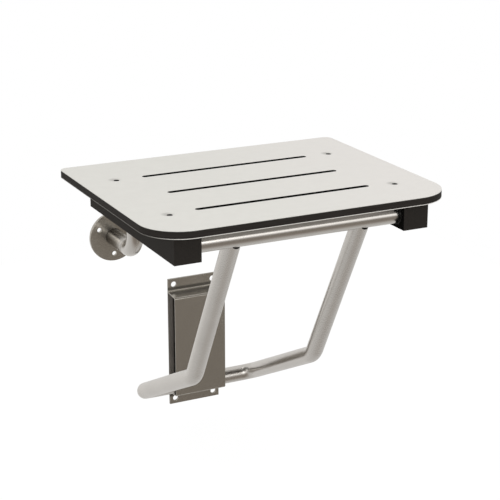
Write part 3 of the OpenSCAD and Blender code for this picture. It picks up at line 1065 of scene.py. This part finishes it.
def folded(along, points, heads):
    """Folds a flat sheet: a point at x, a length s along the sheet and a height t over its middle
    goes to the line's point at s, plus t times the line's left-hand normal."""

    def place(grid):
        s, t = grid[..., 1], grid[..., 2]
        y = np.interp(s, along, points[:, 0])
        z = np.interp(s, along, points[:, 1])
        head = unit(np.stack([np.interp(s, along, heads[:, 0]), np.interp(s, along, heads[:, 1])], -1))
        return np.stack([grid[..., 0], y - t * head[..., 1], z + t * head[..., 0]], -1)

    return place


def guide_bracket(name, node):
    """The guide bracket: a flat sheet with eased edges and four holes, folded along its bends."""
    along, points, heads = fold_line()
    x0, x1 = low(node)[0], high(node)[0]
    total = along[-1]
    loop, out = box_loop(x0, x1, 0, total, sheet_corner_r, sheet_corner_r, corner_steps)
    bends = along[1:-1]
    rows = bends[(bends > sheet_corner_r) & (bends < total - sheet_corner_r)]
    face_start, face_end = along[2 * fold_steps:2 * fold_steps + 2]
    face_rows = np.linspace(face_start, face_end, face_steps)[1:-1]
    rows = np.unique(np.round(np.concatenate([rows, face_rows]), 9))
    n, half = len(rows), 2 * corner_steps
    left_side = np.stack([np.full(n, x0), rows[::-1]], 1)
    right_side = np.stack([np.full(n, x1), rows], 1)
    loop = np.concatenate([loop[:half], left_side, loop[half:], right_side])
    out = np.concatenate([out[:half], np.tile([-1.0, 0.0], (n, 1)), out[half:], np.tile([1.0, 0.0], (n, 1))])
    left = half + np.arange(n)[::-1]
    right = 2 * half + n + np.arange(n)
    margin = high(node)[2] - bracket_hole_z / 2
    profile = eased(-sheet_t / 2, sheet_t / 2, sheet_ease, steps=4)
    walls = [((loop, out), profile)]
    walls += [(circle(x, s, bracket_hole_d / 2, 40), profile)
              for x in (-bracket_hole_x / 2, bracket_hole_x / 2) for s in (margin, total - margin)]
    skin = Skin()
    plate(skin, walls, folded(along, points, heads), lines=np.stack([left, right], 1).tolist())
    return skin.make(name, sheet_finish, "wall_frame", [node], smooth=50)


def back_plate(name, node):
    """The flat plate between the bracket and the wall, with the same four holes."""
    start, end = low(node), high(node)
    profile = eased(-end[1], -start[1], sheet_ease, steps=4)
    outline = box_loop(start[0], end[0], start[2], end[2], sheet_corner_r, sheet_corner_r, corner_steps)
    walls = [(outline, profile)]
    walls += [(circle(sx * bracket_hole_x / 2, sz * bracket_hole_z / 2, bracket_hole_d / 2, 40), profile)
              for sx in (-1, 1) for sz in (-1, 1)]
    skin = Skin()
    plate(skin, walls, on_wall)
    return skin.make(name, plate_finish, "wall_frame", [node])


# Faces inside the channel take the channel finish, with its painted shade
more_finish(guide_bracket("folded_bracket", "guide_bracket"), channel_finish, in_channel)
more_finish(back_plate("plate_behind_bracket", "guide_back_plate"), channel_finish, in_channel)


# CAD nodes that stay

for node in frame["record"]["subparts"]:
    piece = frame["nodes"][node["node"]]
    piece.data.materials.clear()
    piece.data.materials.append(cad_finishes[node["material_slot"]])


# Studio


def level_curve(graph, value, levels, low_end, high_end):
    """Runs a value from one end to the other through a smooth curve of levels up to 2."""
    curve = graph.add("FloatCurve")
    points = curve.mapping.curves[0].points
    for at, level in levels[1:-1]:
        points.new((at - low_end) / (high_end - low_end), level / 2)
    points[0].location = (0, levels[0][1] / 2)
    points[len(levels) - 1].location = (1, levels[-1][1] / 2)
    curve.mapping.update()
    return graph.math("MULTIPLY", graph.made(curve, Value=graph.between(value, low_end, high_end)), 2)


def studio_world():
    """White for the camera, an even soft white as light, and in reflections a pale room that is
    dark below in front, where y is negative, and bright above."""
    world = bpy.data.worlds.new("studio")
    bpy.context.scene.world = world
    world.use_nodes = True
    graph = Graph(world.node_tree)
    graph.nodes.clear()
    rays = graph.add("LightPath").outputs
    direction = graph.parts("Generated")
    ahead, height = direction["Y"], direction["Z"]
    below = level_curve(graph, ahead, below_levels, -1, 1)
    above = level_curve(graph, height, above_levels, 0, 1)
    above = graph.blend(graph.between(ahead, *behind_fade), behind_level, above)
    seen = graph.blend(graph.between(height, *horizon_fade), below, above)
    level = graph.blend(rays["Is Glossy Ray"], light_level, seen)
    tint = graph.two_tone(level, dark_tint, light_tint, *tint_levels)
    room = graph.made(graph.add("Background"), Color=tint, Strength=level)
    white = graph.made(graph.add("Background"), Color=(1, 1, 1, 1))
    graph.feed(graph.add("OutputWorld").inputs["Surface"], graph.either(rays["Is Camera Ray"], room, white))


def placed(data, axes, place):
    """A lamp or camera with its own three axes at a place."""
    holder = shown(data.name, data)
    turn = np.eye(4)
    turn[:3, :3] = np.stack(axes, 1)
    turn[:3, 3] = place
    holder.matrix_world = Matrix(turn.tolist())
    return holder


def soft_box(name, place, aim, width, height, power):
    """A large soft lamp at a place, facing a point."""
    lamp = bpy.data.lights.new(name, "AREA")
    lamp.shape = "RECTANGLE"
    lamp.size = width
    lamp.size_y = height
    lamp.energy = power
    back = unit(np.subtract(place, aim))
    right = unit(np.cross(Z, back))
    placed(lamp, [right, np.cross(back, right), back], place)


def studio_floor():
    """Plain white floor under the seat, which takes its shadow, stays out of reflections, throws
    little light up and is clear from below."""
    mesh = bpy.data.meshes.new("studio_floor")
    corners = floor_reach * np.array([(-1, -1, 0), (1, -1, 0), (1, 1, 0), (-1, 1, 0)]) + [0, 0, floor_z]
    mesh.from_pydata(corners.tolist(), [], [(0, 1, 2, 3)])
    floor = shown("studio_floor", mesh)
    material = bpy.data.materials.new("white_floor")
    material.use_nodes = True
    graph = Graph(material.node_tree)
    graph.nodes.clear()
    rays = graph.add("LightPath").outputs
    bright, dim = (graph.made(graph.add("BsdfDiffuse"), Color=(tone, tone, tone, 1)) for tone in floor_tones)
    clear = graph.add("BsdfTransparent").outputs[0]
    glow = graph.made(graph.add("Emission"), Strength=floor_glow)
    lit = graph.either(rays["Is Diffuse Ray"], bright, dim)
    lit = graph.either(rays["Is Glossy Ray"], lit, clear)
    seen = graph.either(graph.math("MULTIPLY", rays["Is Camera Ray"], glow_share), lit, glow)
    seen = graph.either(graph.add("NewGeometry").outputs["Backfacing"], seen, clear)
    graph.feed(graph.add("OutputMaterial").inputs["Surface"], seen)
    mesh.materials.append(material)


def photo_camera():
    """Camera at the photograph's place, turned by its yaw and pitch."""
    yaw, pitch = np.radians([camera_yaw, camera_pitch])
    ahead = np.array([np.sin(yaw) * np.cos(pitch), np.cos(yaw) * np.cos(pitch), np.sin(pitch)])
    right = np.array([np.cos(yaw), -np.sin(yaw), 0])
    data = bpy.data.cameras.new("photo_camera")
    data.sensor_width = sensor_width
    data.lens = sensor_width * camera_focal / picture_width
    data.clip_end = 50
    bpy.context.scene.camera = placed(data, [right, np.cross(right, ahead), -ahead], camera_place)


studio_world()
soft_box("overhead_lamp", (-0.2, -0.7, 2.6), lamp_aim, width=2.0, height=2.0, power=19)
soft_box("front_lamp", (-0.3, -2.6, 1.1), lamp_aim, width=2.4, height=0.7, power=8)
studio_floor()
photo_camera()
bpy.context.scene.view_settings.view_transform = "Standard"
